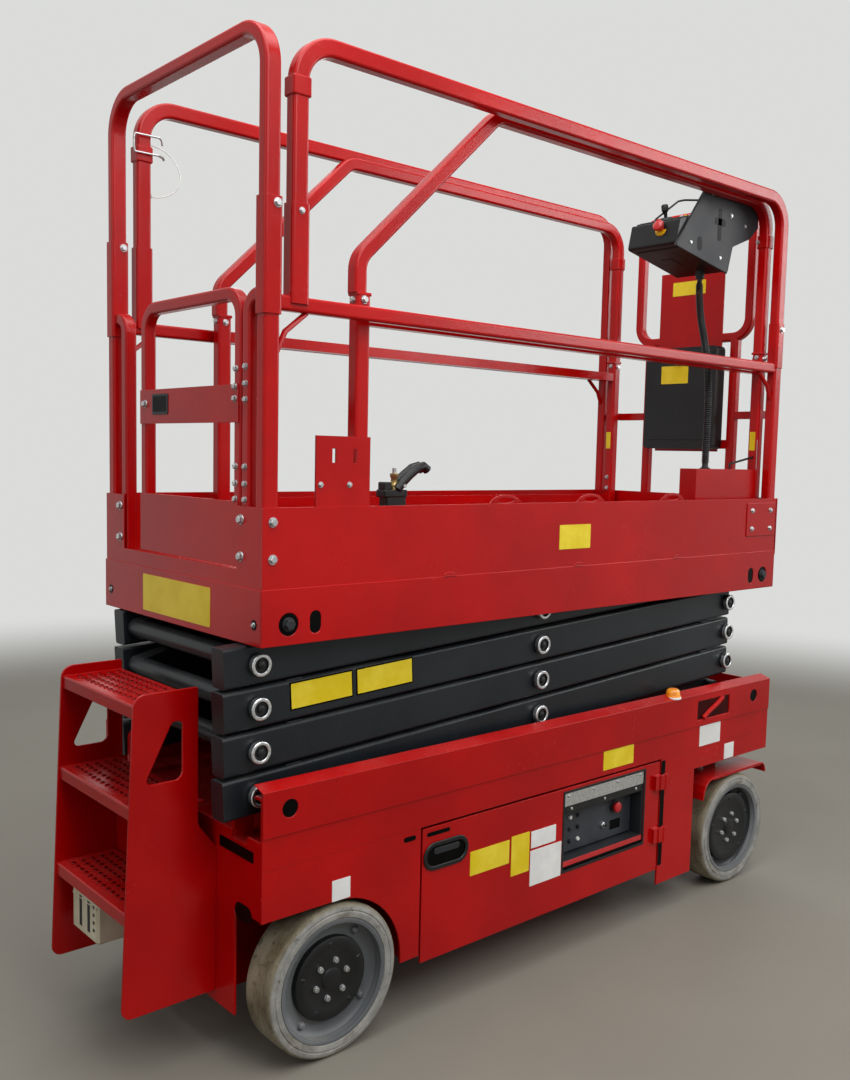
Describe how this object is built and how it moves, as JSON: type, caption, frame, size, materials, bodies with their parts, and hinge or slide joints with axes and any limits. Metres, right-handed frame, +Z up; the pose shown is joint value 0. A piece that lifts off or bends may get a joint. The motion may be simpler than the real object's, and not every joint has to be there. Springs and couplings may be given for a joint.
{
  "type": "electric slab scissor lift",
  "caption": "Narrow electric scissor lift, stowed: red chassis on solid wheels, dark scissor stack, guarded platform with roll-out deck, gate and rear ladder.",
  "frame": {"origin": "on the floor, at the middle of the whole machine seen from above", "axes": "+X towards the steered front end, +Y towards the left side, +Z up"},
  "size_m": [2.215, 0.792, 2.234],
  "materials": {
    "red_paint": "semi-gloss red powder coat",
    "dark_paint": "semi-gloss charcoal paint",
    "grey_paint": "grey painted wheel centre",
    "tyre_grey": "pale grey solid non-marking rubber",
    "steel": "bare and zinc-plated steel",
    "chrome_rod": "hard chrome",
    "black_plastic": "black moulded plastic",
    "cream_plastic": "cream moulded plastic",
    "amber_lens": "amber lamp lens",
    "battery": "dark battery and power unit block"
  },
  "bodies": {
    "chassis": {"chassis_frame": "red_paint", "rear_axles": "dark_paint", "ladder": "red_paint", "charger_box": "cream_plastic", "beacons": "amber_lens"},
    "platform": {"platform_frame": "red_paint", "rail_posts": "red_paint", "rear_hoop": "red_paint", "side_rail_right": "red_paint", "side_rail_left": "red_paint", "box_mount": "red_paint", "pin_lanyard": "cream_plastic"},
    "gate": {"gate": "red_paint"},
    "extension": {"extension_deck": "red_paint", "extension_posts": "red_paint", "extension_rail_right": "red_paint", "extension_rail_left": "red_paint", "front_frame": "red_paint", "document_box": "black_plastic", "control_box": "black_plastic", "control_bracket": "red_paint", "foot_latch": "black_plastic", "control_cable": "black_plastic"},
    "cylinder_barrel": {"cylinder_barrel": "dark_paint"},
    "cylinder_rod": {"cylinder_rod": "chrome_rod"},
    "outer_arms_1": {"outer_arms_1": "dark_paint"},
    "inner_arms_1": {"inner_arms_1": "dark_paint"},
    "outer_arms_2": {"outer_arms_2": "dark_paint"},
    "inner_arms_2": {"inner_arms_2": "dark_paint"},
    "outer_arms_3": {"outer_arms_3": "dark_paint"},
    "inner_arms_3": {"inner_arms_3": "dark_paint"},
    "outer_arms_4": {"outer_arms_4": "dark_paint"},
    "inner_arms_4": {"inner_arms_4": "dark_paint"},
    "tray_right": {"tray_right": "red_paint", "ground_panel_right": "steel", "tray_load_right": "battery"},
    "knuckle_right": {"knuckle_right": "red_paint"},
    "wheel_rear_right": {"tyre_rear_right": "tyre_grey", "rim_rear_right": "grey_paint"},
    "wheel_front_right": {"tyre_front_right": "tyre_grey", "rim_front_right": "grey_paint"},
    "tray_left": {"tray_left": "red_paint", "ground_panel_left": "steel", "tray_load_left": "battery"},
    "knuckle_left": {"knuckle_left": "red_paint"},
    "wheel_rear_left": {"tyre_rear_left": "tyre_grey", "rim_rear_left": "grey_paint"},
    "wheel_front_left": {"tyre_front_left": "tyre_grey", "rim_front_left": "grey_paint"}
  },
  "joints": [
    {"name": "lift", "type": "hinge", "parent": "chassis", "child": "outer_arms_1", "pos_m": [-0.855, 0, 0.623], "axis": [0, -1, 0], "range_deg": [0, 43.5]},
    {"name": "fold_1", "type": "hinge", "parent": "outer_arms_1", "child": "inner_arms_1", "pos_m": [0.01972, 0, 0.67025], "axis": [0, 1, 0], "range_deg": [0, 87]},
    {"name": "unfold_2", "type": "hinge", "parent": "inner_arms_1", "child": "outer_arms_2", "pos_m": [-0.855, 0, 0.7175], "axis": [0, -1, 0], "range_deg": [0, 87]},
    {"name": "fold_2", "type": "hinge", "parent": "outer_arms_2", "child": "inner_arms_2", "pos_m": [0.01972, 0, 0.76475], "axis": [0, 1, 0], "range_deg": [0, 87]},
    {"name": "unfold_3", "type": "hinge", "parent": "inner_arms_2", "child": "outer_arms_3", "pos_m": [-0.855, 0, 0.812], "axis": [0, -1, 0], "range_deg": [0, 87]},
    {"name": "fold_3", "type": "hinge", "parent": "outer_arms_3", "child": "inner_arms_3", "pos_m": [0.01972, 0, 0.85925], "axis": [0, 1, 0], "range_deg": [0, 87]},
    {"name": "unfold_4", "type": "hinge", "parent": "inner_arms_3", "child": "outer_arms_4", "pos_m": [-0.855, 0, 0.9065], "axis": [0, -1, 0], "range_deg": [0, 87]},
    {"name": "fold_4", "type": "hinge", "parent": "outer_arms_4", "child": "inner_arms_4", "pos_m": [0.01972, 0, 0.95375], "axis": [0, 1, 0], "range_deg": [0, 87]},
    {"name": "platform_level", "type": "hinge", "parent": "inner_arms_4", "child": "platform", "pos_m": [-0.855, 0, 1.001], "axis": [0, -1, 0], "range_deg": [0, 43.5]},
    {"name": "cylinder_foot", "type": "hinge", "parent": "chassis", "child": "cylinder_barrel", "pos_m": [-0.305, 0, 0.373], "axis": [0, -1, 0], "range_deg": [0, 47.37]},
    {"name": "cylinder_stroke", "type": "slide", "parent": "cylinder_barrel", "child": "cylinder_rod", "axis": [0.8539, 0, 0.5204], "range_m": [0, 0.2373]},
    {"name": "steer_right", "type": "hinge", "parent": "chassis", "child": "knuckle_right", "pos_m": [0.8965, -0.245, 0.176], "axis": [0, 0, 1], "range_deg": [-70, 70]},
    {"name": "wheel_front_right_spin", "type": "hinge", "parent": "knuckle_right", "child": "wheel_front_right", "pos_m": [0.8965, -0.329, 0.176], "axis": [0, 1, 0], "continuous": true},
    {"name": "wheel_rear_right_spin", "type": "hinge", "parent": "chassis", "child": "wheel_rear_right", "pos_m": [-0.6875, -0.329, 0.176], "axis": [0, 1, 0], "continuous": true},
    {"name": "tray_right_swing", "type": "hinge", "parent": "chassis", "child": "tray_right", "pos_m": [0.5015, -0.39, 0.3], "axis": [0, 0, 1], "range_deg": [0, 85]},
    {"name": "steer_left", "type": "hinge", "parent": "chassis", "child": "knuckle_left", "pos_m": [0.8965, 0.245, 0.176], "axis": [0, 0, 1], "range_deg": [-70, 70]},
    {"name": "wheel_front_left_spin", "type": "hinge", "parent": "knuckle_left", "child": "wheel_front_left", "pos_m": [0.8965, 0.329, 0.176], "axis": [0, 1, 0], "continuous": true},
    {"name": "wheel_rear_left_spin", "type": "hinge", "parent": "chassis", "child": "wheel_rear_left", "pos_m": [-0.6875, 0.329, 0.176], "axis": [0, 1, 0], "continuous": true},
    {"name": "tray_left_swing", "type": "hinge", "parent": "chassis", "child": "tray_left", "pos_m": [0.5015, 0.39, 0.3], "axis": [0, 0, -1], "range_deg": [0, 85]},
    {"name": "gate_swing", "type": "hinge", "parent": "platform", "child": "gate", "pos_m": [-0.8355, -0.2695, 1.4], "axis": [0, 0, -1], "range_deg": [0, 90]},
    {"name": "extension_roll", "type": "slide", "parent": "platform", "child": "extension", "axis": [1, 0, 0], "range_m": [0, 0.9]}
  ],
  "couplings": [
    {"joint": "fold_1", "follows": "lift", "ratio": 2},
    {"joint": "unfold_2", "follows": "lift", "ratio": 2},
    {"joint": "fold_2", "follows": "lift", "ratio": 2},
    {"joint": "unfold_3", "follows": "lift", "ratio": 2},
    {"joint": "fold_3", "follows": "lift", "ratio": 2},
    {"joint": "unfold_4", "follows": "lift", "ratio": 2},
    {"joint": "fold_4", "follows": "lift", "ratio": 2},
    {"joint": "platform_level", "follows": "lift", "ratio": 1},
    {"joint": "cylinder_foot", "follows": "lift", "ratio": 1.0888},
    {"joint": "cylinder_stroke", "follows": "lift", "m_per_rad": 0.31225},
    {"joint": "steer_left", "follows": "steer_right", "ratio": 1}
  ]
}
